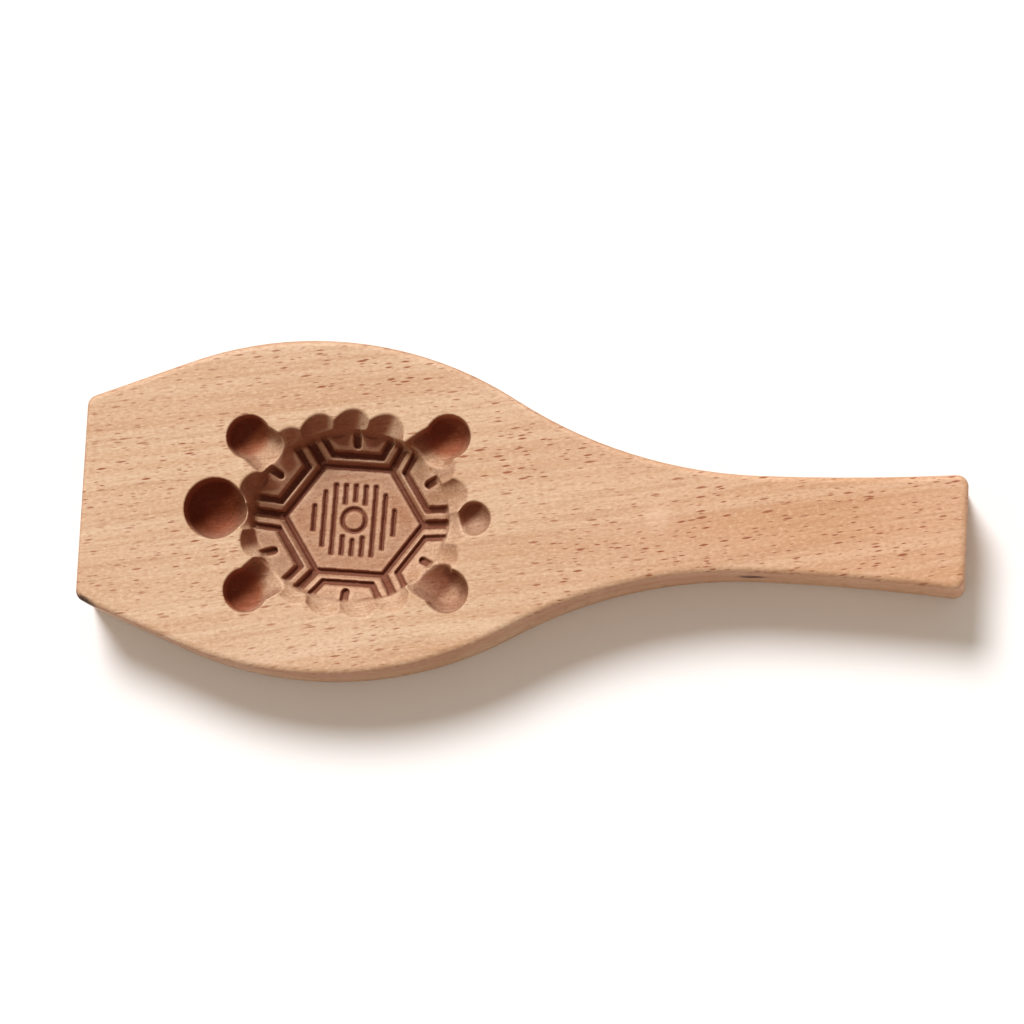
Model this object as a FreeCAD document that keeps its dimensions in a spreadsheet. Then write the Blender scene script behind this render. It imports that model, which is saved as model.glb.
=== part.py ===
import FreeCAD, Part
import math
import os
import Sketcher
from FreeCAD import Placement, Rotation, Vector

# A wooden cookie mould: a flat beech board with a wide blade and a waisted handle.
# A turtle shaped hollow is carved into the upper face of the blade.
# Millimetres. The board lies on its back, +X runs from the head end to the handle,
# +Z points out of the carved face, and the origin is under the middle of the board.

NODE = "mould_board"

# Driving sizes: name, value, what it is
SIZES = [
    # board seen from above
    ("board_length", 235.0, "head end to handle end"),
    ("board_thickness", 24.0, "back to carved face"),
    ("flank_lean", 21.56, "degrees the straight sides of the head end lean to the board"),
    ("belly_half", 44.65, "half the greatest width"),
    ("belly_from_front", 64.0, "head end to the greatest width"),
    ("belly_radius", 100.0, "curve of the blade's sides"),
    ("neck_half", 12.9, "half the least width"),
    ("neck_from_front", 180.0, "head end to the least width"),
    ("butt_flare", 2.5, "how much wider the handle end is than the neck, each side"),
    ("corner_radius", 3.0, "upright corners of both ends"),
    ("edge_round", 1.8, "rounding of the long edges"),
    # place of the carving
    ("carve_from_front", 71.6, "head end to the middle of the carving"),
    ("carve_side", 1.6, "middle of the carving off the board's centre line"),
    ("pattern_turn", 1.5, "degrees the shell pattern is turned clockwise"),
    ("feet_turn", 2.2, "degrees the four feet are turned the other way"),
    # shell: a flat six-sided floor and six sloping panels
    ("floor_depth", 15.0, "carved face to the floor"),
    ("floor_half_length", 17.9, "middle to a floor corner along the board"),
    ("floor_half_width", 13.5, "middle to a floor side across the board"),
    ("floor_side_half", 8.7, "half of the floor side that lies along the board"),
    ("panel_rise", 1.4, "floor up to the low edge of the panels"),
    ("panel_slope", 41.5, "slope of the panels in degrees"),
    # grooves of the shell pattern
    ("ring_width", 2.2, "groove round the floor"),
    ("ring_foot", 0.9, "flat bottom of that groove"),
    ("ring_depth", 1.2, "how far that groove goes below the floor"),
    ("groove_drop", 1.9, "how far the panel grooves go below the panels"),
    ("spoke_width", 2.2, "grooves between the panels"),
    ("frame_width", 1.6, "groove inside each panel"),
    ("frame_from_floor", 3.7, "floor side to the middle of that groove"),
    ("frame_from_spoke", 3.8, "spoke to the middle of that groove"),
    ("dash_width", 1.9, "short groove at the rim of each panel"),
    ("dash_length", 4.0, "its length"),
    # scalloped rim: leaning half-round flutes that meet the panels on an oval
    ("rim_half_width", 22.9, "middle to the feet of the flutes across the board"),
    ("rim_extra", 3.5, "how much further their feet are along the board"),
    ("flute_count", 19, "flutes in the full round"),
    ("flute_first", 89.5, "degrees to the flute at the top of the round"),
    ("flute_radius", 5.6, "round of a flute"),
    ("flute_depth", 6.6, "depth at its foot"),
    ("flute_out", 5.1, "how far it leans outwards up to the carved face"),
    ("flute_shift", 1.7, "how far it leans towards the handle as well"),
    ("flute_clear", 8.0, "degrees either side of a leg that have no flute"),
    # head, feet and tail: round-bottomed bowls
    ("head_out", 35.5, "middle of the carving to the head"),
    ("head_radius", 7.9, "head"),
    ("head_depth", 13.5, "head"),
    ("foot_out", 26.7, "middle to a foot along the board"),
    ("foot_side", 20.5, "middle to a foot across the board"),
    ("foot_radius", 5.7, "feet"),
    ("foot_depth", 9.4, "feet"),
    ("leg_depth", 5.2, "depth at the shell of the leg, as round as the foot it rises from"),
    ("tail_out", 33.8, "middle of the carving to the tail"),
    ("tail_radius", 4.4, "tail"),
    ("tail_depth", 5.5, "tail"),
    # ornament on the floor: a comb of bars round a ring
    ("bar_width", 1.1, "bars"),
    ("bar_pitch", 2.7, "from bar to bar"),
    ("bar_margin", 3.8, "bars to the sides of the floor"),
    ("bar_gap", 1.3, "bars to the ring"),
    ("eye_radius", 3.1, "middle line of the ring"),
    ("ornament_depth", 0.9, "bars and ring"),
]

OVER = 2.0  # cutters stand this far out of the carved face


def make_sheet(doc):
    sheet = doc.addObject("Spreadsheet::Sheet", "sizes")
    for row, (name, value, note) in enumerate(SIZES, start=1):
        sheet.set(f"A{row}", name)
        sheet.set(f"B{row}", str(value))
        sheet.set(f"C{row}", note)
        sheet.setAlias(f"B{row}", name)
    doc.recompute()
    return sheet


doc = FreeCAD.newDocument("cookie_mould")
sheet = make_sheet(doc)


def size(name):
    return float(sheet.get(name))


def bind(obj, **links):
    """Ties properties to the sheet; a double underscore stands for a dot."""
    for prop, text in links.items():
        obj.setExpression(prop.replace("__", "."), text)


def origin_plane(body, role):
    return next(f for f in body.Origin.OriginFeatures if f.Role == role)


# Board

def board_outline(body):
    """Half of the outline, from the head end round the blade and neck to the handle end."""
    sketch = body.newObject("Sketcher::SketchObject", "half_outline")
    sketch.AttachmentSupport = [(origin_plane(body, "XY_Plane"), "")]
    sketch.MapMode = "FlatFace"

    left = -size("board_length") / 2
    right = size("board_length") / 2
    belly_r = size("belly_radius")
    belly_c = Vector(left + size("belly_from_front"), size("belly_half") - belly_r, 0)
    neck = Vector(left + size("neck_from_front"), size("neck_half"), 0)
    butt = Vector(right, size("neck_half") + size("butt_flare"), 0)

    # straight side of the head end touches the belly curve
    lean = math.radians(size("flank_lean"))
    touch = math.pi / 2 + lean
    touch_point = belly_c + Vector(math.cos(touch), math.sin(touch), 0) * belly_r
    front = Vector(left, touch_point.y - (touch_point.x - left) * math.tan(lean), 0)
    # belly curve runs into the neck curve without a corner
    across = size("belly_half") - neck.y
    along = neck.x - belly_c.x
    swing = 2 * math.atan2(across, along)
    neck_r = along / math.sin(swing) - belly_r
    neck_c = neck + Vector(0, neck_r, 0)
    # handle curve leaves the neck level and ends at the handle end
    run = butt.x - neck.x
    rise = butt.y - neck.y
    grip_r = (run ** 2 + rise ** 2) / (2 * rise)
    grip_c = neck + Vector(0, grip_r, 0)
    down = 1.5 * math.pi
    up = Vector(0, 0, 1)

    def arc(centre, radius, start, end):
        return Part.ArcOfCircle(Part.Circle(centre, up, radius), start, end)

    edges = [
        Part.LineSegment(Vector(left, 0, 0), front),
        Part.LineSegment(front, touch_point),
        arc(belly_c, belly_r, math.pi / 2 - swing, touch),
        arc(neck_c, neck_r, down - swing, down),
        arc(grip_c, grip_r, down, down + math.asin(run / grip_r)),
        Part.LineSegment(butt, Vector(right, 0, 0)),
        Part.LineSegment(Vector(right, 0, 0), Vector(left, 0, 0)),
    ]
    sketch.addGeometry(edges, False)
    head, flank, belly, waist, grip, end, axis = range(7)
    first, last, centre = 1, 2, 3
    root = -1
    add = sketch.addConstraint
    con = Sketcher.Constraint
    add([
        con("Coincident", head, last, flank, first),
        con("Tangent", flank, last, belly, last),
        con("Tangent", belly, first, waist, first),
        con("Tangent", waist, last, grip, first),
        con("Coincident", grip, last, end, first),
        con("Coincident", end, last, axis, first),
        con("Coincident", axis, last, head, first),
        con("Vertical", head),
        con("Vertical", end),
        con("Horizontal", axis),
        con("PointOnObject", axis, last, root),
        con("Vertical", waist, last, waist, centre),
    ])

    def driven(kind, *where, to):
        number = add(con(kind, *where))
        sketch.renameConstraint(number, f"c{number}")
        bind(sketch, **{f"Constraints__c{number}": to})

    driven("DistanceX", axis, last, root, 1, -left, to="sizes.board_length / 2")
    driven("DistanceX", axis, last, axis, first, right - left, to="sizes.board_length")
    driven("Angle", flank, lean, to="sizes.flank_lean * 1 deg")
    driven("DistanceY", end, last, end, first, butt.y, to="sizes.neck_half + sizes.butt_flare")
    driven("Radius", belly, belly_r, to="sizes.belly_radius")
    driven("DistanceX", head, first, belly, centre, belly_c.x - left, to="sizes.belly_from_front")
    driven("DistanceY", belly, centre, root, 1, -belly_c.y, to="sizes.belly_radius - sizes.belly_half")
    driven("DistanceX", head, first, waist, last, neck.x - left, to="sizes.neck_from_front")
    driven("DistanceY", head, first, waist, last, neck.y, to="sizes.neck_half")
    return sketch


def make_board():
    body = doc.addObject("PartDesign::Body", "board")
    sketch = board_outline(body)
    doc.recompute()

    pad = body.newObject("PartDesign::Pad", "half_board")
    pad.Profile = sketch
    bind(pad, Length="sizes.board_thickness")
    doc.recompute()

    mirror = body.newObject("PartDesign::Mirrored", "whole_board")
    mirror.Originals = [pad]
    mirror.MirrorPlane = (origin_plane(body, "XZ_Plane"), [""])
    mirror.Refine = True
    body.Tip = mirror
    doc.recompute()

    corners = body.newObject("PartDesign::Fillet", "corners")
    corners.Base = (mirror, upright_corners(mirror.Shape))
    bind(corners, Radius="sizes.corner_radius")
    doc.recompute()

    rounding = body.newObject("PartDesign::Fillet", "rounded_edges")
    rounding.Base = (corners, rim_edges(corners.Shape))
    bind(rounding, Radius="sizes.edge_round")
    doc.recompute()
    return body


def upright_corners(shape):
    """The four upright edges at the ends of the board."""
    reach = size("board_length") / 2
    names = []
    for number, edge in enumerate(shape.Edges, start=1):
        box = edge.BoundBox
        upright = box.XLength < 1e-6 and box.YLength < 1e-6
        if upright and abs(abs(box.XMin) - reach) < 1e-6:
            names.append(f"Edge{number}")
    return names


def rim_edges(shape):
    """All edges of the back and of the carved face."""
    levels = (0.0, size("board_thickness"))
    names = []
    for number, edge in enumerate(shape.Edges, start=1):
        box = edge.BoundBox
        if box.ZLength < 1e-6 and min(abs(box.ZMin - level) for level in levels) < 1e-6:
            names.append(f"Edge{number}")
    return names


# Shell

CARVE_X = "(sizes.carve_from_front - sizes.board_length / 2)"
CARVE_Y = "(-sizes.carve_side)"


def carving_place():
    """Middle and turn of the shell pattern."""
    centre = Vector(size("carve_from_front") - size("board_length") / 2, -size("carve_side"), 0)
    return Placement(centre, Rotation(Vector(0, 0, 1), -size("pattern_turn")))


def six_sided(name, depth):
    """The floor's outline, drawn at a depth below the carved face."""
    sketch = doc.addObject("Sketcher::SketchObject", name)
    x1, x2, y1 = size("floor_half_length"), size("floor_side_half"), size("floor_half_width")
    points = [(x1, 0), (x2, y1), (-x2, y1), (-x1, 0), (-x2, -y1), (x2, -y1)]
    corners = [Vector(x, y, 0) for x, y in points]
    pairs = list(zip(corners, corners[1:] + corners[:1]))
    sketch.addGeometry([Part.LineSegment(a, b) for a, b in pairs], False)
    con = Sketcher.Constraint
    sketch.addConstraint([con("Coincident", i, 2, (i + 1) % 6, 1) for i in range(6)])
    sketch.addConstraint([
        con("PointOnObject", 0, 1, -1),
        con("Symmetric", 0, 1, 2, 2, -1, 1),
        con("Symmetric", 0, 2, 1, 2, -2),
        con("Symmetric", 0, 2, 4, 2, -1),
        con("Symmetric", 1, 2, 3, 2, -1),
    ])
    for kind, point, value, name in [("DistanceX", 1, x1, "floor_half_length"),
                                     ("DistanceX", 2, x2, "floor_side_half"),
                                     ("DistanceY", 2, y1, "floor_half_width")]:
        number = sketch.addConstraint(con(kind, -1, 1, 0, point, value))
        sketch.renameConstraint(number, name)
        bind(sketch, **{f"Constraints__{name}": f"sizes.{name}"})

    sketch.Placement = Placement(Vector(), Rotation(Vector(0, 0, 1), -size("pattern_turn")))
    bind(sketch, Placement__Base__x=CARVE_X, Placement__Base__y=CARVE_Y,
         Placement__Base__z=f"sizes.board_thickness - ({depth})",
         Placement__Rotation__Angle="-sizes.pattern_turn")
    return sketch


def prism(name, sketch, height):
    body = doc.addObject("Part::Extrusion", name)
    body.Base = sketch
    body.DirMode = "Custom"
    body.Dir = Vector(0, 0, 1)
    body.Solid = True
    bind(body, LengthFwd=height)
    return body


def floor_corners(grow=0.0, level=0.0):
    """Corners of the floor's outline, or of that outline set outwards, anticlockwise."""
    x1, x2, y1 = size("floor_half_length"), size("floor_side_half"), size("floor_half_width")
    lean = x1 - x2
    flank = math.hypot(lean, y1)
    x2 += grow * (flank - lean) / y1
    x1 += grow * flank / y1
    y1 += grow
    points = [(x1, 0), (x2, y1), (-x2, y1), (-x1, 0), (-x2, -y1), (x2, -y1)]
    return [Vector(x, y, level) for x, y in points]


def six_slopes(low, grow_low, high, grow_high):
    """A six-sided block between two levels whose sides lean outwards."""
    inner = floor_corners(grow_low, low)
    outer = floor_corners(grow_high, high)
    faces = [Part.Face(Part.makePolygon(ring + ring[:1])) for ring in (inner, outer)]
    for i in range(6):
        after = (i + 1) % 6
        corners = [inner[i], inner[after], outer[after], outer[i], inner[i]]
        faces.append(Part.Face(Part.makePolygon(corners)))
    return Part.Solid(Part.Shell(faces))


def panel_space(drop):
    """The space over the six panels, up to above the carved face."""
    low = size("board_thickness") - size("floor_depth") + size("panel_rise") - drop
    high = size("board_thickness") + OVER
    spread = (high - low) / math.tan(math.radians(size("panel_slope")))
    return six_slopes(low, size("ring_width"), high, size("ring_width") + spread)


def sloping_bowl(name, drop):
    """Six sloping panels, cut off by an oval edge."""
    panels = doc.addObject("Part::Feature", f"{name}_panels")
    panels.Shape = panel_space(size(drop) if drop else 0.0)
    panels.Placement = carving_place()

    depth = "sizes.floor_depth"
    if drop:
        depth += f" + sizes.{drop}"
    oval = doc.addObject("Part::Ellipse", f"{name}_oval")
    bind(oval, MajorRadius="sizes.rim_half_width + sizes.rim_extra",
         MinorRadius="sizes.rim_half_width",
         Placement__Base__x=CARVE_X, Placement__Base__y=CARVE_Y,
         Placement__Base__z=f"sizes.board_thickness - ({depth})")
    well = prism(f"{name}_well", oval, f"{depth} + {OVER}")

    bowl = doc.addObject("Part::MultiCommon", name)
    bowl.Shapes = [panels, well]
    return bowl


def floor_and_ring():
    """The groove round the floor, cut deeper than the floor that stays inside it."""
    floor = size("board_thickness") - size("floor_depth")
    low = floor - size("ring_depth")
    lean = (size("ring_width") - size("ring_foot")) / (size("panel_rise") + size("ring_depth"))
    high = floor + size("panel_rise") + size("ring_depth") / 2
    pit = doc.addObject("Part::Feature", "ring_pit")
    pit.Shape = six_slopes(low, size("ring_foot"), high, size("ring_foot") + lean * (high - low))
    pit.Placement = carving_place()
    outline = six_sided("floor_outline", "sizes.floor_depth + sizes.ring_depth")
    table = prism("floor_table", outline, "sizes.ring_depth")
    ring = doc.addObject("Part::Cut", "floor_ring")
    ring.Base = pit
    ring.Tool = table
    return ring


# Groove plans

def slot(start, end, width, low, high):
    """An upright slot from one point to another, round at its start."""
    tip = Part.makeCylinder(width / 2, high - low, Vector(start.x, start.y, low))
    return band([start, end], width, low, high).fuse(tip).removeSplitter()


def band(points, width, low, high):
    """An upright band of even width along a bent line, with mitred bends."""
    half = width / 2
    ways = [(b - a).normalize() for a, b in zip(points, points[1:])]
    ways = [ways[0]] + ways + [ways[-1]]
    left, right = [], []
    for point, before, after in zip(points, ways, ways[1:]):
        mitre = (left_of(before) + left_of(after)).normalize()
        mitre *= half / mitre.dot(left_of(after))
        left.append(point + mitre)
        right.append(point - mitre)
    ring = [Vector(p.x, p.y, low) for p in left + right[::-1]]
    return Part.Face(Part.makePolygon(ring + ring[:1])).extrude(Vector(0, 0, high - low))


def oval_radii():
    return size("rim_half_width") + size("rim_extra"), size("rim_half_width")


def to_oval(start, direction, short=0.0):
    """The point where a ray meets the oval edge of the panels, less a distance."""
    a, b = oval_radii()
    qa = (direction.x / a) ** 2 + (direction.y / b) ** 2
    qb = 2 * (start.x * direction.x / a ** 2 + start.y * direction.y / b ** 2)
    qc = (start.x / a) ** 2 + (start.y / b) ** 2 - 1
    reach = (-qb + math.sqrt(qb ** 2 - 4 * qa * qc)) / (2 * qa)
    return start + direction * (reach - short)


def meet(point_a, dir_a, point_b, dir_b):
    """Where two lines in the plan cross."""
    gap = point_b - point_a
    cross = dir_a.x * dir_b.y - dir_a.y * dir_b.x
    step = (gap.x * dir_b.y - gap.y * dir_b.x) / cross
    return point_a + dir_a * step


def left_of(direction):
    return Vector(-direction.y, direction.x, 0)


def panel_plan(low, high):
    """Spokes at the floor's corners, a three-sided frame and a dash in each panel."""
    corners = floor_corners()
    solids = []
    for i, corner in enumerate(corners):
        after = corners[(i + 1) % 6]
        spoke = Vector(corner).normalize()
        next_spoke = Vector(after).normalize()
        side = (after - corner).normalize()
        past = size("spoke_width")
        solids.append(band([corner, to_oval(corner, spoke, -past)],
                           size("spoke_width"), low, high))

        base = corner - left_of(side) * size("frame_from_floor")
        bend = meet(base, side, corner + left_of(spoke) * size("frame_from_spoke"), spoke)
        next_bend = meet(base, side, after - left_of(next_spoke) * size("frame_from_spoke"),
                         next_spoke)
        frame = [to_oval(bend, spoke, -past), bend, next_bend,
                 to_oval(next_bend, next_spoke, -past)]
        solids.append(band(frame, size("frame_width"), low, high))

        middle = ((corner + after) * 0.5).normalize()
        inner = to_oval(Vector(), middle, size("dash_length") - size("dash_width") / 2)
        solids.append(slot(inner, to_oval(Vector(), middle, -past), size("dash_width"), low, high))
    return solids


def panel_grooves():
    low = size("board_thickness") - size("floor_depth") - size("ring_depth") / 2
    solids = panel_plan(low, size("board_thickness") + OVER)
    plan = doc.addObject("Part::Feature", "groove_plan")
    plan.Shape = solids[0].fuse(solids[1:])
    plan.Placement = carving_place()
    grooves = doc.addObject("Part::MultiCommon", "panel_grooves")
    grooves.Shapes = [plan, sloping_bowl("groove_bed", "groove_drop")]
    return grooves


def ornament():
    """Upright bars that follow the floor's sides, and a ring in their middle."""
    floor = size("board_thickness") - size("floor_depth")
    low = floor - size("ornament_depth")
    high = floor + size("ornament_depth")
    half = size("bar_width") / 2
    pitch = size("bar_pitch")
    eye = size("eye_radius")
    clear = eye + half + size("bar_gap")
    corner, shoulder = floor_corners(-size("bar_margin"))[:2]
    slant = shoulder.y / (corner.x - shoulder.x)
    solids = []
    for i in range(int(corner.x / pitch) + 1):
        x = i * pitch
        reach = min(shoulder.y, slant * (corner.x - x))
        start = math.sqrt(clear ** 2 - x ** 2) if x < clear else 0.0
        if reach - start < pitch:
            break
        spans = [(start, reach), (-reach, -start)] if start else [(-reach, reach)]
        for column in {x, -x}:
            for bottom, top in spans:
                ends = [Vector(column, bottom, 0), Vector(column, top, 0)]
                solids.append(band(ends, size("bar_width"), low, high))
    ring = Part.makeCylinder(eye + half, high - low, Vector(0, 0, low))
    solids.append(ring.cut(Part.makeCylinder(eye - half, high - low, Vector(0, 0, low))))
    comb = doc.addObject("Part::Feature", "floor_ornament")
    comb.Shape = Part.makeCompound(solids)
    comb.Placement = carving_place()
    return comb


# Round cuts

def round_profile(name, radius, depth):
    """Half section of a round-bottomed hole; its lowest point is the sketch's origin."""
    sketch = doc.addObject("Sketcher::SketchObject", f"{name}_profile")
    r, tall = size(radius), size(depth) + OVER
    down = 1.5 * math.pi
    sketch.addGeometry([
        Part.ArcOfCircle(Part.Circle(Vector(0, r, 0), Vector(0, 0, 1), r), down, 2 * math.pi),
        Part.LineSegment(Vector(r, r, 0), Vector(r, tall, 0)),
        Part.LineSegment(Vector(r, tall, 0), Vector(0, tall, 0)),
        Part.LineSegment(Vector(0, tall, 0), Vector(0, 0, 0)),
    ], False)
    con = Sketcher.Constraint
    sketch.addConstraint([
        con("Coincident", 0, 1, -1, 1),
        con("PointOnObject", 0, 3, -2),
        con("Tangent", 0, 2, 1, 1),
        con("Coincident", 1, 2, 2, 1),
        con("Coincident", 2, 2, 3, 1),
        con("Coincident", 3, 2, 0, 1),
        con("Horizontal", 2),
        con("Vertical", 3),
        con("Vertical", 1),
    ])
    for label, made, text in [("round", con("Radius", 0, r), f"sizes.{radius}"),
                              ("tall", con("DistanceY", 3, 2, 3, 1, tall),
                               f"sizes.{depth} + {OVER}")]:
        number = sketch.addConstraint(made)
        sketch.renameConstraint(number, label)
        bind(sketch, **{f"Constraints__{label}": text})
    sketch.Placement = Placement(Vector(), Rotation(Vector(1, 0, 0), 90))
    return sketch


def round_cut(name, profile, depth, x, y):
    """A round-bottomed hole straight down from the carved face."""
    hole = doc.addObject("Part::Revolution", name)
    hole.Source = profile
    hole.Axis = Vector(0, 0, 1)
    hole.Base = Vector()
    hole.Angle = 360
    hole.Solid = True
    bind(hole, Placement__Base__x=f"{CARVE_X} + {x}", Placement__Base__y=f"{CARVE_Y} + {y}",
         Placement__Base__z=f"sizes.board_thickness - sizes.{depth}")
    return hole


def channel(name, radius, start, end):
    """A round bar from one point to another, both measured from the carving's middle."""
    bar = doc.addObject("Part::Cylinder", name)
    bind(bar, Radius=f"sizes.{radius}")
    bar.Height = (end - start).Length
    middle = carving_place().Base + Vector(0, 0, size("board_thickness"))
    bar.Placement = Placement(middle + start, Rotation(Vector(0, 0, 1), end - start))
    return bar


def feet():
    """Ways from the carving's middle to the four feet, and their distance."""
    lean = math.degrees(math.atan2(size("foot_side"), size("foot_out")))
    ways = []
    for start in (lean, 180 - lean, 180 + lean, -lean):
        angle = math.radians(start + size("feet_turn"))
        ways.append(Vector(math.cos(angle), math.sin(angle), 0))
    return ways, math.hypot(size("foot_out"), size("foot_side"))


def on_oval(angle):
    """A point of the oval, and the way straight out of the oval there."""
    a, b = oval_radii()
    point = Vector(a * math.cos(angle), b * math.sin(angle), 0)
    return point, Vector(math.cos(angle) / a, math.sin(angle) / b, 0).normalize()


def flutes():
    """Flutes all round the oval, but for those nearest to the legs."""
    count = int(size("flute_count"))
    depth, radius = size("flute_depth"), size("flute_radius")
    clear = math.radians(size("flute_clear"))
    legs, _ = feet()
    cuts = []
    for i in range(count):
        foot, outward = on_oval(math.radians(size("flute_first") + i * 360 / count))
        if min(foot.getAngle(leg) for leg in legs) < clear:
            continue
        lean = outward * size("flute_out") + Vector(size("flute_shift"), 0, 0)
        rise = lean + Vector(0, 0, depth)
        inward = (Vector(0, 0, lean.Length ** 2) - lean * depth).normalize()
        middle = foot - Vector(0, 0, depth) + inward * radius
        up = Vector(rise).normalize()
        cuts.append(channel(f"flute_{i}", "flute_radius", middle - up * OVER / 2,
                            middle + rise + up * OVER))
    return cuts


def limbs():
    head = round_profile("head", "head_radius", "head_depth")
    foot = round_profile("foot", "foot_radius", "foot_depth")
    tail = round_profile("tail", "tail_radius", "tail_depth")
    cuts = [round_cut("head", head, "head_depth", "(-sizes.head_out)", "0"),
            round_cut("tail", tail, "tail_depth", "sizes.tail_out", "0")]
    reach = "sqrt(sizes.foot_out^2 + sizes.foot_side^2)"
    lean = "atan(sizes.foot_side / sizes.foot_out)"
    starts = [lean, f"180 deg - {lean}", f"180 deg + {lean}", f"360 deg - {lean}"]
    for i, start in enumerate(starts):
        angle = f"{start} + sizes.feet_turn * 1 deg"
        cuts.append(round_cut(f"foot_{i}", foot, "foot_depth",
                              f"{reach} * cos({angle})", f"{reach} * sin({angle})"))
    ways, reach = feet()
    high = Vector(0, 0, size("foot_radius") - size("leg_depth"))
    low = Vector(0, 0, size("foot_radius") - size("foot_depth"))
    for i, along in enumerate(ways):
        inner = to_oval(Vector(), along, size("leg_depth") / 2)
        cuts.append(channel(f"leg_{i}", "foot_radius", inner + high, along * reach + low))
    return cuts


# Whole mould

def make_mould():
    """The board, cut first by the shell, then by the rim and last by head, legs and tail."""
    groups = [("shell", [sloping_bowl("shell_bowl", None), floor_and_ring(),
                         panel_grooves(), ornament()]),
              ("rim", flutes()),
              ("limbs", limbs())]
    mould = make_board()
    for name, cutters in groups:
        hollow = doc.addObject("Part::MultiFuse", f"{name}_hollow")
        hollow.Shapes = cutters
        cut = doc.addObject("Part::Cut", f"board_less_{name}")
        cut.Base = mould
        cut.Tool = hollow
        mould = cut
    mould.Label = NODE
    mould.Placement = Placement()
    doc.recompute()
    return mould


def check_document(part):
    for obj in doc.Objects:
        if "Invalid" in obj.State or "Error" in obj.State:
            raise RuntimeError(f"{obj.Label} failed: {obj.State}")
    shape = part.Shape
    if shape.isNull() or not shape.isValid() or len(shape.Solids) != 1:
        raise RuntimeError(f"{part.Label} isn't one valid solid")
    print(part.Label, "volume", round(shape.Volume), "mm3, box", shape.BoundBox)


mould = make_mould()
check_document(mould)
os.makedirs("parts", exist_ok=True)
mould.Shape.exportStep(f"parts/{mould.Label}.step")
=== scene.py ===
import math
from typing import NamedTuple

import bmesh
import bpy
import numpy as np
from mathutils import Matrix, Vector
from mathutils.bvhtree import BVHTree


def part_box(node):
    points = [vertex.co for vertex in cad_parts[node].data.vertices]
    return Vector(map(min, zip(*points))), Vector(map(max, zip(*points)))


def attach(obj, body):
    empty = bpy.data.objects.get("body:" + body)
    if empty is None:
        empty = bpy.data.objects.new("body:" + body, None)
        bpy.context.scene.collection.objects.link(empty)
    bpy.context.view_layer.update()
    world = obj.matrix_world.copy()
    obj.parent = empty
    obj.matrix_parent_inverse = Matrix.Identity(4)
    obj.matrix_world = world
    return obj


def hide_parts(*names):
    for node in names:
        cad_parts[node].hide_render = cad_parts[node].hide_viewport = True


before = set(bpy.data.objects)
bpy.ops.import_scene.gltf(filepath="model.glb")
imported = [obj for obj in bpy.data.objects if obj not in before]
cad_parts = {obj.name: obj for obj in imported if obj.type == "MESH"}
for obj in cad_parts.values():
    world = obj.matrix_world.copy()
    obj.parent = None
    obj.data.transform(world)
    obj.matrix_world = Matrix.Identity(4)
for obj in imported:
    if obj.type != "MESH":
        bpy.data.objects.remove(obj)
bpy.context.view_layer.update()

# A beech cookie mould lying on its back, carved face up. The carved patch of that face is a
# fine grid, whose heights are read from the solid below it and softened as carved wood is.
# Sizes and places are in millimetres, colours are sRGB from 0 to 255, and a stretch is how
# many cells of a noise go into a metre along the board, across it and through it.

MM = 0.001
NODE = "mould_board"

scene = bpy.context.scene
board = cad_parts[NODE]
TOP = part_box(NODE)[1].z

# The mesh: the corners of the carved patch, the side of a grid cell, how far the carved
# edges are softened, and how far round a point counts for how sunken it is

PATCH = (-90.6, -29.3, -6.1, 27.9)
CELL = 0.235
SOFTEN = 0.18
GROOVE_REACH = 1.1
BLUR_WIDTHS = 3

# rays start this far above the board, and faces this low belong to its underside
RAY_START = 10.0
NEAR_UNDERSIDE = 2.0
SAME_POINT = 0.001
CUT_SLACK = 0.0001

# Places on the board: two ovals, one round the whole carving and one on the shell's rim, and
# the middles of the four bowls painted with shade, with their reach

CARVED_MIDDLE = (-48.5, -1.0)
CARVED_REACH = (52.63, 33.33)
SHELL_MIDDLE = (-45.9, -1.6)
SHELL_REACH = (26.4, 22.9)
SHADED_BOWLS = ((-84.2, 0.8, 11.0), (-75.3, 20.2, 8.0), (-21.2, 21.8, 8.0), (-74.4, -22.4, 8.0))
BOWL_SHADE_CORE = 0.55

# depths under the face between which each tint grows to its full share
CARVED_DEPTHS = (0.08, 0.6)
BOWL_SHADE_DEPTHS = (0.06, 0.5)
DEEP_SHADE_DEPTHS = (1.0, 16.0)

# the same for the handle's warmth and the easing of the sides' painted shade along x, and the sides'
# painted shade in z
WARM_HANDLE = (-30.0, 90.0)
SIDE_SHADE_EASING = (20.0, 80.0)
SIDE_SHADE_HEIGHTS = (6.0, 18.0)

# The grain

GRAIN_TURN = -9.8
WAVER_STRETCH = (9.0, 22.0, 22.0)
WAVER = 6.0
PALE_WOOD = (217, 183, 150)


class Layer(NamedTuple):
    """A tint over the wood, growing to its share as a noise goes from low to high."""

    stretch: tuple
    detail: float
    rough: float
    low: float
    high: float
    share: float
    tint: tuple


BANDS = Layer((5.0, 190.0, 70.0), 3.0, 0.55, 0.34, 0.68, 1.0, (201, 158, 121))
PATCHES = Layer((16.0, 30.0, 30.0), 1.0, 0.5, 0.3, 0.7, 0.35, (221, 184, 155))
STREAKS = Layer((22.0, 900.0, 400.0), 2.0, 0.5, 0.45, 0.75, 0.55, (187, 142, 106))
FIBRES = Layer((160.0, 4200.0, 3000.0), 2.0, 0.6, 0.5, 0.85, 0.6, (174, 126, 92))
DARK_PORES = Layer((700.0, 1500.0, 1500.0), 3.0, 0.65, 0.48, 0.72, 0.6, (186, 139, 104))
# pale specks painted as glints of light in the grain
PAINTED_GLINTS = Layer((700.0, 1500.0, 1500.0), 3.0, 0.65, 0.5, 0.3, 0.5, (233, 200, 169))
TOOL_MARKS = Layer((1500.0, 1500.0, 500.0), 3.0, 0.6, 0.45, 0.75, 0.42, (120, 74, 52))


class Flecks(NamedTuple):
    """Lens-shaped rays of the wood, one at most in each cell of this spacing."""

    spacing: tuple
    shift: tuple
    present: float
    soft: float


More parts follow.
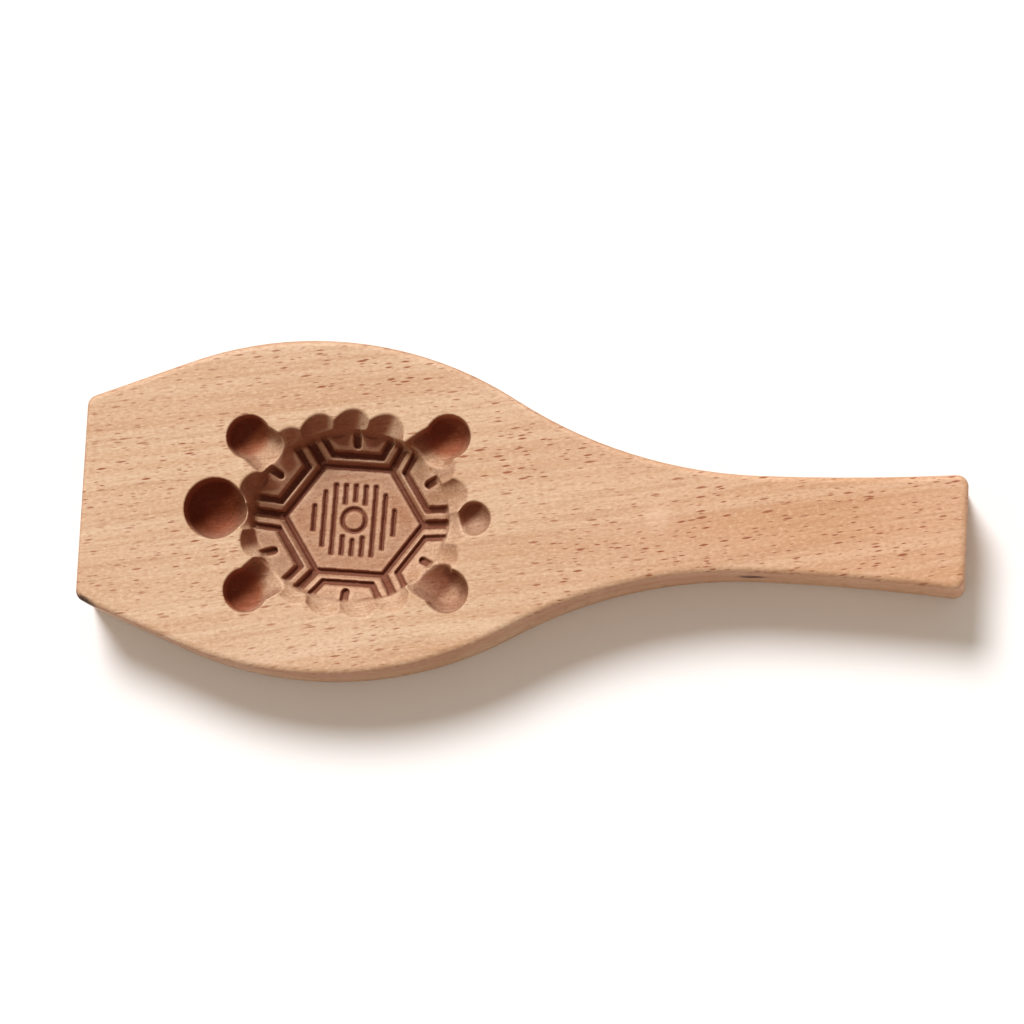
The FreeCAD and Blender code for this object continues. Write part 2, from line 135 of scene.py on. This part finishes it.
BIG_FLECKS = Flecks((5.6, 1.1, 15.0), (3.1, 5.27, 0.93), 0.55, 0.62)
SMALL_FLECKS = Flecks((4.3, 0.85, 10.0), (17.3, 29.41, 5.19), 0.66, 0.55)
SMALL_SHARE = 0.8
FLECK_POWER = 1.4
FLECK_SCATTER = 0.85
FLECK_RADIUS = 0.22
FLECK_RADIUS_SPREAD = 0.14
HALF_THERE = 0.1
FAINT_STRETCH = (30.0, 60.0, 20.0)
FLECK_TINT = (152, 84, 52)
FAINTER_CARVED = -0.6

# Tints of the carving and the sides: painted shade in the deep wood, on the walls turned from the
# light, in the bowls, in the grooves and on the upright sides, with redder end grain, rubbed ridges
# and a warmer handle

# painted shade of the deep carving, also used for the redder end grain
DEEP_SHADE_AND_END_GRAIN_TINT = (170, 105, 75)
# painted shade on the carved walls turned from the key light
AWAY_SIDE_SHADE_TINT = (170, 114, 92)
# painted shade in the four bowls
BOWL_SHADE_TINT = (236, 180, 156)
# painted shade in the grooves
GROOVE_SHADE_TINT = (148, 78, 52)
RUBBED_TINT = (236, 196, 164)
HANDLE_TINT = (252, 241, 233)
# painted shade on the upright sides
SIDE_SHADE_TINT = (221, 202, 198)


class Mark(NamedTuple):
    """A stain round a point, full inside its core and gone at its reach."""

    middle: tuple
    reach: tuple
    core: float
    stretch: float
    uneven: float
    share: float
    tint: tuple


BURN = Mark((-116.0, -28.4, 20.0), (5.0, 5.4, 8.0), 0.5, 260.0, 0.5, 0.93, (52, 22, 14))
KNOT = Mark((61.4, -12.9, 13.5), (5.6, 2.4, 4.2), 0.3, 300.0, 0.3, 0.95, (84, 38, 32))
NICK = Mark((-37.0, 43.4, 24.0), (1.8, 1.0, 1.4), 0.3, 700.0, 0.5, 0.6, (140, 78, 46))
WORN = Mark((36.4, 0.5, 24.0), (5.0, 6.5, 3.0), 0.1, 260.0, 0.5, 0.3, (240, 203, 176))

# Gloss and relief of the surface

SMOOTH_WOOD = 0.5
ROUGHER_FIBRES = 0.2
ROUGHER_CARVING = 0.15
GLOSS = 0.3
BUMP_HEIGHT = 0.06
FIBRE_RELIEF = 0.4
FLECK_RELIEF = -0.7
TOOL_RELIEF = 1.2
NICK_RELIEF = -4.0

# The camera: its place in metres, its turn in radians, its lens in millimetres

CAMERA_PLACE = (0.120534, -0.147426, 1.195429)
CAMERA_TURN = (0.1302489, 0.0974713, 0.0525937)
LENS = 158.215
SENSOR = 36.0
NEAREST = 0.05
FARTHEST = 50.0

# The floor: its radius in metres, and how far it lies under the board in millimetres

FLOOR_RADIUS = 6.0
FLOOR_CORNERS = 96
FLOOR_DROP = 0.05
FLOOR_WHITE = (0.95, 0.925, 0.9, 1.0)
FLOOR_ROUGHNESS = 0.9
FLOOR_GLOSS = 0.1

# The light: a sun of this width in degrees, and the room's soft light

SUN_FROM = (-8, 18, 24)
SUN_ENERGY = 3.264
SUN_WIDTH = 22
SUN_COLOUR = (0.9216, 0.951, 1.0)
ROOM_COLOUR = (1.0, 0.88, 0.75, 1.0)
ROOM_STRENGTH = 0.455
WHITE = (1.0, 1.0, 1.0, 1.0)


# Mesh

def read_heights(source, xs, ys):
    """Height of the solid under every grid point, the mean of four rays close to it."""
    tree = BVHTree.FromBMesh(source)
    down = Vector((0, 0, -1))
    start = TOP + RAY_START * MM
    total = np.zeros((len(ys), len(xs)))
    near = CELL * MM / 4
    rays = ((-near, -near), (near, -near), (near, near), (-near, near))
    for dx, dy in rays:
        for j, y in enumerate(ys):
            for i, x in enumerate(xs):
                hit = tree.ray_cast(Vector((x + dx, y + dy, start)), down)[0]
                total[j, i] += TOP if hit is None else hit.z
    return total / len(rays)


def soften(field, sigma):
    """The field blurred by a bell curve, sigma cells wide."""
    reach = int(math.ceil(BLUR_WIDTHS * sigma))
    steps = np.arange(-reach, reach + 1)
    weights = np.exp(-0.5 * (steps / sigma) ** 2)
    weights /= weights.sum()
    for axis in (0, 1):
        padded = np.pad(field, [(reach, reach) if a == axis else (0, 0) for a in (0, 1)], "edge")
        count = field.shape[axis]
        shifted = (np.take(padded, range(k, k + count), axis) for k in range(len(weights)))
        field = sum(weight * part for weight, part in zip(weights, shifted))
    return field


def cut_out_patch(bm, x0, y0, x1, y1):
    """Takes the carved patch out of the upper face, along straight cuts."""
    along_x = (1, 0, 0)
    along_y = (0, 1, 0)
    cuts = (((x0, 0, 0), along_x), ((x1, 0, 0), along_x),
            ((0, y0, 0), along_y), ((0, y1, 0), along_y))
    for point, normal in cuts:
        level = TOP - SAME_POINT * MM
        flat = [f for f in bm.faces if all(v.co.z > level for v in f.verts)]
        edges = {e for f in flat for e in f.edges}
        verts = {v for f in flat for v in f.verts}
        bmesh.ops.bisect_plane(bm, geom=flat + list(edges) + list(verts), dist=CUT_SLACK * MM,
                               plane_co=point, plane_no=normal)
    inside = []
    for f in bm.faces:
        c = f.calc_center_median()
        if x0 < c.x < x1 and y0 < c.y < y1 and c.z > NEAR_UNDERSIDE * MM:
            inside.append(f)
    bmesh.ops.delete(bm, geom=inside, context="FACES")


def make_board():
    """The solid of the board, with the fine grid in place of its carved patch."""
    bm = bmesh.new()
    bm.from_mesh(board.data)
    bmesh.ops.remove_doubles(bm, verts=bm.verts, dist=SAME_POINT * MM)
    x0, y0, x1, y1 = (v * MM for v in PATCH)
    cell = CELL * MM
    xs = np.linspace(x0 + cell, x1 - cell, round((x1 - x0) / cell) - 1)
    ys = np.linspace(y0 + cell, y1 - cell, round((y1 - y0) / cell) - 1)
    heights = soften(read_heights(bm, xs, ys), SOFTEN / CELL)
    for edge in (heights[0], heights[-1], heights[:, 0], heights[:, -1]):
        edge[:] = TOP
    sunken = soften(heights, GROOVE_REACH / CELL) - heights

    cut_out_patch(bm, x0, y0, x1, y1)
    groove = bm.verts.layers.float.new("groove")
    grid = [[bm.verts.new((x, y, heights[j, i])) for i, x in enumerate(xs)]
            for j, y in enumerate(ys)]
    for row, depths in zip(grid, sunken):
        for vert, depth in zip(row, depths):
            vert[groove] = depth / MM
    for below, above in zip(grid, grid[1:]):
        for i in range(len(xs) - 1):
            bm.faces.new((below[i], below[i + 1], above[i + 1], above[i]))
    seam = [e for e in bm.edges if len(e.link_faces) == 1]
    bmesh.ops.triangle_fill(bm, use_beauty=True, edges=seam, normal=(0, 0, 1))
    bmesh.ops.recalc_face_normals(bm, faces=bm.faces)

    mesh = bpy.data.meshes.new("mould_wood")
    bm.to_mesh(mesh)
    bm.free()
    even_normals(mesh)
    piece = bpy.data.objects.new("mould_wood", mesh)
    scene.collection.objects.link(piece)
    return piece


def even_normals(mesh):
    """Normals weighted by area, so flat faces stay flat beside their rounded edges."""
    mesh.polygons.foreach_set("use_smooth", [True] * len(mesh.polygons))
    corner = np.zeros(len(mesh.loops), np.int32)
    mesh.loops.foreach_get("vertex_index", corner)
    faces = len(mesh.polygons)
    flat = np.zeros(faces * 3)
    mesh.polygons.foreach_get("normal", flat)
    area = np.zeros(faces)
    mesh.polygons.foreach_get("area", area)
    size = np.zeros(faces, np.int32)
    mesh.polygons.foreach_get("loop_total", size)
    pull = np.repeat(flat.reshape(-1, 3) * area[:, None], size, axis=0)
    normals = np.zeros((len(mesh.vertices), 3))
    for axis in range(3):
        np.add.at(normals[:, axis], corner, pull[:, axis])
    lengths = np.linalg.norm(normals, axis=1)
    lengths[lengths == 0] = 1
    normals /= lengths[:, None]
    mesh.normals_split_custom_set_from_vertices(normals.tolist())


# Material

class Graph:
    """Short ways to write the nodes of one material."""

    def __init__(self, name):
        self.material = bpy.data.materials.new(name)
        self.material.use_nodes = True
        self.tree = self.material.node_tree
        self.shader = self.tree.nodes["Principled BSDF"]

    def node(self, kind, **values):
        made = self.tree.nodes.new(kind)
        for key, value in values.items():
            setattr(made, key, value)
        return made

    def plug(self, socket, value):
        if isinstance(value, bpy.types.NodeSocket):
            self.tree.links.new(value, socket)
        else:
            socket.default_value = value

    def math(self, operation, *values, clamp=False):
        made = self.node("ShaderNodeMath", operation=operation, use_clamp=clamp)
        for socket, value in zip(made.inputs, values):
            self.plug(socket, value)
        return made.outputs[0]

    def times(self, *values):
        """The product of two or more values."""
        product = values[0]
        for value in values[1:]:
            product = self.math("MULTIPLY", product, value)
        return product

    def vector(self, operation, *values):
        made = self.node("ShaderNodeVectorMath", operation=operation)
        for socket, value in zip(made.inputs, values):
            self.plug(socket, value)
        return made.outputs["Value" if operation in ("LENGTH", "DISTANCE") else "Vector"]

    def split(self, value):
        made = self.node("ShaderNodeSeparateXYZ")
        self.plug(made.inputs[0], value)
        return made.outputs[0], made.outputs[1], made.outputs[2]

    def ramp(self, value, low, high, to_low=0.0, to_high=1.0):
        """A smooth step between two values."""
        made = self.node("ShaderNodeMapRange", interpolation_type="SMOOTHSTEP")
        for key, item in (("Value", value), ("From Min", low), ("From Max", high),
                          ("To Min", to_low), ("To Max", to_high)):
            self.plug(made.inputs[key], item)
        return made.outputs["Result"]

    def below_top(self, z, depths, to_low=0.0, to_high=1.0):
        """A smooth step between two depths under the upper face."""
        shallow, full = depths
        return self.ramp(z, TOP - shallow * MM, TOP - full * MM, to_low, to_high)

    def noise(self, where, stretch, detail=2.0, rough=0.5):
        made = self.node("ShaderNodeTexNoise")
        self.plug(made.inputs["Vector"], self.vector("MULTIPLY", where, stretch))
        self.plug(made.inputs["Scale"], 1.0)
        self.plug(made.inputs["Detail"], detail)
        self.plug(made.inputs["Roughness"], rough)
        return made.outputs["Fac"]

    def mix(self, share, below, tint, blend="MIX"):
        made = self.node("ShaderNodeMix", data_type="RGBA", blend_type=blend)
        self.plug(made.inputs[0], share)
        self.plug(made.inputs[6], below)
        self.plug(made.inputs[7], linear(*tint))
        return made.outputs[2]


def linear(r, g, b):
    """sRGB 0 to 255 to linear."""
    out = []
    for value in (r, g, b):
        v = value / 255
        out.append(v / 12.92 if v <= 0.04045 else ((v + 0.055) / 1.055) ** 2.4)
    return (*out, 1.0)


class Surface(NamedTuple):
    """What the tints go by at each point of the wood: its place, the same along the grain,
    which way it faces, whether it is in the carving, and how sunken it is there."""

    place: object
    along: object
    x: object
    z: object
    facing: tuple
    inside: object
    carved: object
    groove: object


def oval(g, place, middle, reach):
    """Distance from the middle of an oval, 1 on the oval itself."""
    offset = g.vector("SUBTRACT", place, (middle[0] * MM, middle[1] * MM, 0))
    return g.vector("LENGTH", g.vector("MULTIPLY", offset, (1 / reach[0] / MM, 1 / reach[1] / MM, 0)))


def along_grain(g, place):
    """Places turned with the grain, which runs a little askew and wavers slowly."""
    turned = g.node("ShaderNodeVectorRotate", rotation_type="Z_AXIS")
    g.plug(turned.inputs["Vector"], place)
    g.plug(turned.inputs["Angle"], math.radians(GRAIN_TURN))
    waver = g.math("SUBTRACT", g.noise(place, WAVER_STRETCH, detail=1.0), 0.5)
    sway = g.node("ShaderNodeCombineXYZ")
    g.plug(sway.inputs["Y"], g.times(waver, WAVER * MM))
    return g.vector("ADD", turned.outputs[0], sway.outputs[0])


def read_surface(g):
    place = g.node("ShaderNodeTexCoord").outputs["Object"]
    x, _, z = g.split(place)
    facing = g.split(g.node("ShaderNodeNewGeometry").outputs["Normal"])
    inside = g.ramp(oval(g, place, CARVED_MIDDLE, CARVED_REACH), low=1.0, high=0.9)
    carved = g.times(g.below_top(z, CARVED_DEPTHS), inside)
    groove = g.node("ShaderNodeAttribute", attribute_name="groove").outputs["Fac"]
    return Surface(place, along_grain(g, place), x, z, facing, inside, carved, groove)


def lay(g, wood, where, layer, within=None):
    """Lays a tint over the wood, inside a mask if there is one, and gives its noise too."""
    field = g.noise(where, layer.stretch, layer.detail, layer.rough)
    share = g.ramp(field, layer.low, layer.high, to_high=layer.share)
    if within is not None:
        share = g.times(within, share)
    return g.mix(share, wood, layer.tint), field


def plain_wood(g, at):
    """Bands, streaks, fibres, pores and painted glints, and the noise of the fibres."""
    wood, _ = lay(g, linear(*PALE_WOOD), at.along, BANDS)
    wood, _ = lay(g, wood, at.place, PATCHES)
    wood, _ = lay(g, wood, at.along, STREAKS)
    wood, fibres = lay(g, wood, at.along, FIBRES)
    wood, _ = lay(g, wood, at.along, DARK_PORES)
    wood, _ = lay(g, wood, at.along, PAINTED_GLINTS)
    return wood, fibres


def scatter(g, along, kind):
    """One size of flecks: dark dashes on the upper face, lines on the ends."""
    stretched = g.vector("MULTIPLY", along, tuple(1 / v / MM for v in kind.spacing))
    cells = g.node("ShaderNodeTexVoronoi", feature="F1", voronoi_dimensions="3D",
                   distance="MINKOWSKI")
    g.plug(cells.inputs["Vector"], g.vector("ADD", stretched, kind.shift))
    g.plug(cells.inputs["Scale"], 1.0)
    g.plug(cells.inputs["Exponent"], FLECK_POWER)
    g.plug(cells.inputs["Randomness"], FLECK_SCATTER)
    chance = g.node("ShaderNodeSeparateColor")
    g.plug(chance.inputs[0], cells.outputs["Color"])
    absent = 1 - kind.present
    there = g.ramp(chance.outputs[0], low=absent - HALF_THERE, high=absent + HALF_THERE)
    radius = g.math("MULTIPLY_ADD", chance.outputs[1], FLECK_RADIUS_SPREAD, FLECK_RADIUS)
    dash = g.ramp(cells.outputs["Distance"], low=radius, high=g.times(radius, kind.soft))
    return g.times(there, dash)


def flecks(g, at):
    """All flecks, fainter on the sides and in the carving than on the upper face."""
    big = scatter(g, at.along, BIG_FLECKS)
    small = g.times(scatter(g, at.along, SMALL_FLECKS), SMALL_SHARE)
    faint = g.ramp(g.noise(at.along, FAINT_STRETCH), low=0.3, high=0.7, to_low=0.35)
    upward = g.ramp(at.facing[2], low=0.1, high=0.8, to_low=0.2)
    plain = g.math("MULTIPLY_ADD", at.carved, FAINTER_CARVED, 1.0)
    return g.times(g.math("MAXIMUM", big, small), faint, upward, plain)


def shade_and_redden_carving(g, wood, at):
    """Deep wood is darkened and reddened as painted shade, end grain is redder, and painted shade
    darkens the bowls and, darkest, the head and far walls turned from the light.
    """
    face_x, face_y, _ = at.facing
    # Painted shade: the carved wood darkens and reddens with depth, as shade gathers in the hollow;
    # end grain is redder wood of its own.
    deep_shade = g.below_top(at.z, DEEP_SHADE_DEPTHS, to_low=0.04, to_high=0.44)
    end_grain = g.ramp(g.math("ABSOLUTE", face_x), low=0.2, high=0.9, to_high=0.3)
    shade_or_end_grain = g.math("MAXIMUM", deep_shade, end_grain)
    wood = g.mix(g.times(at.carved, shade_or_end_grain), wood, DEEP_SHADE_AND_END_GRAIN_TINT, "MULTIPLY")
    # Painted shade: carved walls facing away from the key light, on the head and far sides, are
    # darkened.
    turned_from_light = g.math("SUBTRACT", face_x, face_y)
    away_shade = g.ramp(turned_from_light, low=0.0, high=0.625, to_high=0.9)
    wood = g.mix(g.times(at.carved, away_shade), wood, AWAY_SIDE_SHADE_TINT, "MULTIPLY")
    # Painted shade: the head bowl and three of the foot bowls are darkened below their rims.
    flat_place = g.vector("MULTIPLY", at.place, (1, 1, 0))
    for x, y, reach in SHADED_BOWLS:
        away = g.vector("DISTANCE", flat_place, (x * MM, y * MM, 0))
        near = g.ramp(away, low=reach * MM, high=reach * BOWL_SHADE_CORE * MM)
        wood = g.mix(g.times(near, g.below_top(at.z, BOWL_SHADE_DEPTHS)), wood, BOWL_SHADE_TINT, "MULTIPLY")
    return wood


def shade_grooves_rub_ridges(g, wood, at):
    """Painted shade darkens the grooves, mostly in the shell, and ridges are rubbed pale."""
    from_middle = oval(g, at.place, SHELL_MIDDLE, SHELL_REACH)
    from_rim = g.math("ABSOLUTE", g.math("SUBTRACT", from_middle, 1.0))
    # Painted shade: sunken grooves are darkened, most inside the shell, as shade falls in them.
    groove_shade = g.times(g.ramp(at.groove, low=0.12, high=0.42, to_high=0.8),
                    g.ramp(from_rim, low=0.015, high=0.05, to_low=0.25),
                    g.ramp(from_middle, low=0.92, high=1.05, to_low=1.0, to_high=0.5))
    wood = g.mix(groove_shade, wood, GROOVE_SHADE_TINT, "MULTIPLY")
    rubbed = g.times(g.ramp(at.groove, low=-0.05, high=-0.4, to_high=0.3),
                     g.ramp(at.facing[2], low=0.4, high=0.8))
    return g.mix(g.times(at.carved, rubbed), wood, RUBBED_TINT)


def warm_handle_shade_sides(g, wood, at):
    """Warmer wood toward the handle, and painted shade darkening and reddening the upright sides,
    mostly near the top.
    """
    warm = g.ramp(at.x, *(v * MM for v in WARM_HANDLE))
    wood = g.mix(warm, wood, HANDLE_TINT, "MULTIPLY")
    # Painted shade: the upright sides are darkened and reddened, most near the top, easing toward the
    # handle.
    side_shade = g.times(g.ramp(at.facing[2], low=0.9, high=0.3),
                      g.math("SUBTRACT", 1.0, at.inside),
                      g.ramp(at.z, *(v * MM for v in SIDE_SHADE_HEIGHTS), to_low=0.25),
                      g.ramp(at.x, *(v * MM for v in SIDE_SHADE_EASING), to_low=1.0, to_high=0.5))
    return g.mix(side_shade, wood, SIDE_SHADE_TINT, "MULTIPLY")


def spot(g, place, mark):
    """Where a mark lies, with an uneven edge."""
    offset = g.vector("SUBTRACT", place, tuple(v * MM for v in mark.middle))
    length = g.vector("LENGTH", g.vector("MULTIPLY", offset, tuple(1 / v / MM for v in mark.reach)))
    uneven = g.math("SUBTRACT", g.noise(place, (mark.stretch,) * 3, detail=3.0), 0.5)
    length = g.math("MULTIPLY_ADD", uneven, mark.uneven * 2, length)
    return g.ramp(length, low=1.0, high=mark.core)


def add_marks(g, wood, at):
    """A burn on one corner of the head end, a knot and a nick on the long edges, a worn spot."""
    tilted = g.ramp(at.facing[2], low=0.995, high=0.93)
    burn = g.times(spot(g, at.place, BURN), tilted)
    nick = spot(g, at.place, NICK)
    shapes = ((BURN, burn), (KNOT, spot(g, at.place, KNOT)), (NICK, nick),
              (WORN, spot(g, at.place, WORN)))
    for mark, shape in shapes:
        wood = g.mix(g.times(shape, mark.share), wood, mark.tint)
    return wood, nick


def beech():
    g = Graph("beech_wood")
    at = read_surface(g)
    wood, fibres = plain_wood(g, at)
    dark = flecks(g, at)
    wood = g.mix(dark, wood, FLECK_TINT)
    wood = shade_and_redden_carving(g, wood, at)
    wood = shade_grooves_rub_ridges(g, wood, at)
    wood, tool = lay(g, wood, at.place, TOOL_MARKS, within=at.carved)
    wood = warm_handle_shade_sides(g, wood, at)
    wood, nick = add_marks(g, wood, at)
    g.plug(g.shader.inputs["Base Color"], wood)

    rough = g.math("MULTIPLY_ADD", fibres, ROUGHER_FIBRES, SMOOTH_WOOD)
    rough = g.math("MULTIPLY_ADD", at.carved, ROUGHER_CARVING, rough, clamp=True)
    g.plug(g.shader.inputs["Roughness"], rough)
    g.plug(g.shader.inputs["Specular IOR Level"], GLOSS)

    relief = g.times(fibres, FIBRE_RELIEF)
    relief = g.math("MULTIPLY_ADD", dark, FLECK_RELIEF, relief)
    relief = g.math("MULTIPLY_ADD", g.times(at.carved, tool), TOOL_RELIEF, relief)
    relief = g.math("MULTIPLY_ADD", nick, NICK_RELIEF, relief)
    bump = g.node("ShaderNodeBump")
    g.plug(bump.inputs["Height"], relief)
    g.plug(bump.inputs["Distance"], BUMP_HEIGHT * MM)
    g.plug(bump.inputs["Strength"], 1.0)
    g.plug(g.shader.inputs["Normal"], bump.outputs[0])
    return g.material


# Stage

def make_camera():
    data = bpy.data.cameras.new("camera")
    data.lens = LENS
    data.sensor_width = SENSOR
    data.clip_start = NEAREST
    data.clip_end = FARTHEST
    camera = bpy.data.objects.new("camera", data)
    camera.location = CAMERA_PLACE
    camera.rotation_euler = CAMERA_TURN
    scene.collection.objects.link(camera)
    scene.camera = camera


def make_floor():
    bm = bmesh.new()
    bmesh.ops.create_circle(bm, cap_ends=True, radius=FLOOR_RADIUS, segments=FLOOR_CORNERS)
    mesh = bpy.data.meshes.new("floor")
    bm.to_mesh(mesh)
    bm.free()
    floor = bpy.data.objects.new("floor", mesh)
    floor.location.z = -FLOOR_DROP * MM
    scene.collection.objects.link(floor)
    g = Graph("white_floor")
    g.plug(g.shader.inputs["Base Color"], FLOOR_WHITE)
    g.plug(g.shader.inputs["Roughness"], FLOOR_ROUGHNESS)
    g.plug(g.shader.inputs["Specular IOR Level"], FLOOR_GLOSS)
    mesh.materials.append(g.material)


def make_light():
    sun = bpy.data.lights.new("key", "SUN")
    sun.energy = SUN_ENERGY
    sun.angle = math.radians(SUN_WIDTH)
    sun.color = SUN_COLOUR
    key = bpy.data.objects.new("key", sun)
    key.rotation_euler = Vector(SUN_FROM).to_track_quat("Z", "Y").to_euler()
    scene.collection.objects.link(key)


def make_room():
    """Soft warm light from all round, behind which the camera sees white."""
    world = bpy.data.worlds.new("studio")
    scene.world = world
    world.use_nodes = True
    tree = world.node_tree
    soft = tree.nodes["Background"]
    soft.inputs["Color"].default_value = ROOM_COLOUR
    soft.inputs["Strength"].default_value = ROOM_STRENGTH
    white = tree.nodes.new("ShaderNodeBackground")
    white.inputs["Color"].default_value = WHITE
    white.inputs["Strength"].default_value = 1.0
    rays = tree.nodes.new("ShaderNodeLightPath")
    mix = tree.nodes.new("ShaderNodeMixShader")
    tree.links.new(rays.outputs["Is Camera Ray"], mix.inputs[0])
    tree.links.new(soft.outputs[0], mix.inputs[1])
    tree.links.new(white.outputs[0], mix.inputs[2])
    tree.links.new(mix.outputs[0], tree.nodes["World Output"].inputs["Surface"])


make_camera()
make_floor()
make_light()
make_room()
scene.view_settings.view_transform = "Standard"

mould = make_board()
mould.data.materials.append(beech())
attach(mould, "root")
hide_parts(NODE)
